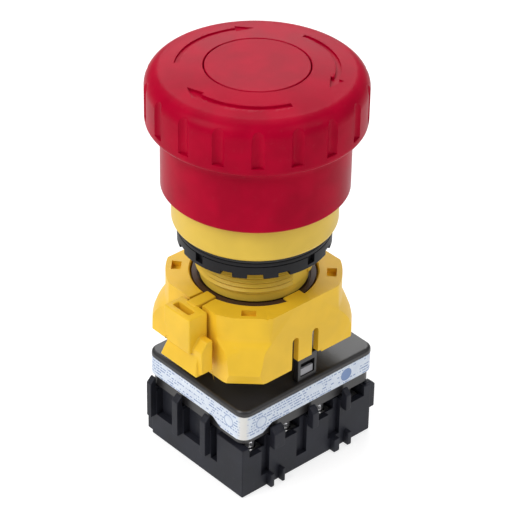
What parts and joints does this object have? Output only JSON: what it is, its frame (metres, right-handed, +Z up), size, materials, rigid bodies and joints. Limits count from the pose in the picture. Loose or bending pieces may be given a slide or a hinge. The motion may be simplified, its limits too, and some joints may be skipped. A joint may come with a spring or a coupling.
{
  "type": "emergency stop button",
  "caption": "Panel-mount emergency stop: fluted red mushroom head, yellow threaded operator and bayonet base with lever lock, on a black screw-terminal contact block.",
  "frame": {"origin": "centre of the operator's axis at the bottom of the contact block, the plane that the part stands on", "axes": "+Z up along the operator's axis from the contact block to the mushroom head; -Y faces the side with the snap finger and window, -X the side with the yellow lever lock"},
  "size_m": [0.04, 0.04, 0.081],
  "materials": {
    "red_plastic": "satin moulded plastic, signal red",
    "yellow_plastic": "satin moulded plastic, warm yellow",
    "black_plastic": "satin moulded plastic, black",
    "black_rubber": "matt rubber",
    "label_paper": "printed film label, pale blue grey, no lettering",
    "white_plastic": "natural acetal",
    "steel": "zinc-plated",
    "brass": "bright strip"
  },
  "bodies": {
    "contact_unit": {"terminal_base": "black_plastic", "block_cover": "black_plastic", "label_band": "label_paper", "bayonet_base": "yellow_plastic", "operator_housing": "yellow_plastic", "panel_gasket": "black_rubber", "dust_seal": "black_rubber", "cam_sleeve": "white_plastic", "latch_spring_front": "steel", "latch_spring_rear": "steel", "block_screw_1": "steel", "block_screw_2": "steel", "contact_spring_1": "steel", "contact_spring_2": "steel", "contact_spring_3": "steel", "contact_spring_4": "steel", "fixed_terminal_front_1": "brass", "fixed_terminal_front_2": "brass", "fixed_terminal_front_3": "brass", "fixed_terminal_front_4": "brass", "fixed_terminal_rear_1": "brass", "fixed_terminal_rear_2": "brass", "fixed_terminal_rear_3": "brass", "fixed_terminal_rear_4": "brass", "terminal_screw_front_1": "steel", "terminal_screw_front_2": "steel", "terminal_screw_front_3": "steel", "terminal_screw_front_4": "steel", "terminal_screw_rear_1": "steel", "terminal_screw_rear_2": "steel", "terminal_screw_rear_3": "steel", "terminal_screw_rear_4": "steel", "return_spring": "steel"},
    "pusher": {"contact_pusher": "white_plastic"},
    "head": {"mushroom_cap": "red_plastic", "centre_disc": "red_plastic", "cap_screw": "steel", "spindle": "white_plastic", "reset_torsion_spring": "steel"},
    "latch_front": {"latch_pin_front": "steel"},
    "latch_rear": {"latch_pin_rear": "steel"},
    "washer": {"clamp_washer": "black_plastic"},
    "ring": {"locking_ring": "black_plastic"},
    "bayonet": {"bayonet_ring": "black_plastic"},
    "lock": {"lever_lock": "yellow_plastic"},
    "contact_1": {"plunger_1": "white_plastic", "moving_contact_1": "brass"},
    "contact_2": {"plunger_2": "white_plastic", "moving_contact_2": "brass"},
    "contact_3": {"plunger_3": "white_plastic", "moving_contact_3": "brass"},
    "contact_4": {"plunger_4": "white_plastic", "moving_contact_4": "brass"}
  },
  "joints": [
    {"name": "button_press", "type": "slide", "parent": "contact_unit", "child": "pusher", "axis": [0, 0, -1], "range_m": [0, 0.004], "stiffness_N_per_m": 900, "springref_m": -0.006, "deforming": ["return_spring"]},
    {"name": "button_turn", "type": "hinge", "parent": "pusher", "child": "head", "pos_m": [0, 0, 0.081], "axis": [0, 0, -1], "range_deg": [0, 40], "stiffness_Nm_per_rad": 0.04, "springref_deg": -22.92},
    {"name": "latch_front_slide", "type": "slide", "parent": "contact_unit", "child": "latch_front", "axis": [0, -1, 0], "range_m": [0, 0.001], "deforming": ["latch_spring_front"]},
    {"name": "latch_rear_slide", "type": "slide", "parent": "contact_unit", "child": "latch_rear", "axis": [0, 1, 0], "range_m": [0, 0.001], "deforming": ["latch_spring_rear"]},
    {"name": "washer_slide", "type": "slide", "parent": "contact_unit", "child": "washer", "axis": [0, 0, 1], "range_m": [-0.0055, 0]},
    {"name": "ring_turn", "type": "hinge", "parent": "washer", "child": "ring", "pos_m": [0, 0, 0.0464], "axis": [0, 0, 1], "range_deg": [-1980.01, 0]},
    {"name": "bayonet_turn", "type": "hinge", "parent": "contact_unit", "child": "bayonet", "pos_m": [0, 0, 0.034], "axis": [0, 0, 1], "range_deg": [0, 25]},
    {"name": "lock_pull", "type": "slide", "parent": "contact_unit", "child": "lock", "axis": [-1, 0, 0], "range_m": [0, 0.0035]},
    {"name": "contact_1_slide", "type": "slide", "parent": "contact_unit", "child": "contact_1", "axis": [0, 0, -1], "range_m": [0, 0.004], "deforming": ["contact_spring_1"]},
    {"name": "contact_2_slide", "type": "slide", "parent": "contact_unit", "child": "contact_2", "axis": [0, 0, -1], "range_m": [0, 0.004], "deforming": ["contact_spring_2"]},
    {"name": "contact_3_slide", "type": "slide", "parent": "contact_unit", "child": "contact_3", "axis": [0, 0, -1], "range_m": [0, 0.004], "deforming": ["contact_spring_3"]},
    {"name": "contact_4_slide", "type": "slide", "parent": "contact_unit", "child": "contact_4", "axis": [0, 0, -1], "range_m": [0, 0.004], "deforming": ["contact_spring_4"]}
  ],
  "couplings": [
    {"joint": "latch_front_slide", "follows": "button_press", "ratio": 0.25},
    {"joint": "latch_rear_slide", "follows": "button_press", "ratio": 0.25},
    {"joint": "ring_turn", "follows": "washer_slide", "rad_per_m": 6283.2},
    {"joint": "contact_1_slide", "follows": "button_press", "ratio": 1},
    {"joint": "contact_2_slide", "follows": "button_press", "ratio": 1},
    {"joint": "contact_3_slide", "follows": "button_press", "ratio": 1},
    {"joint": "contact_4_slide", "follows": "button_press", "ratio": 1}
  ]
}
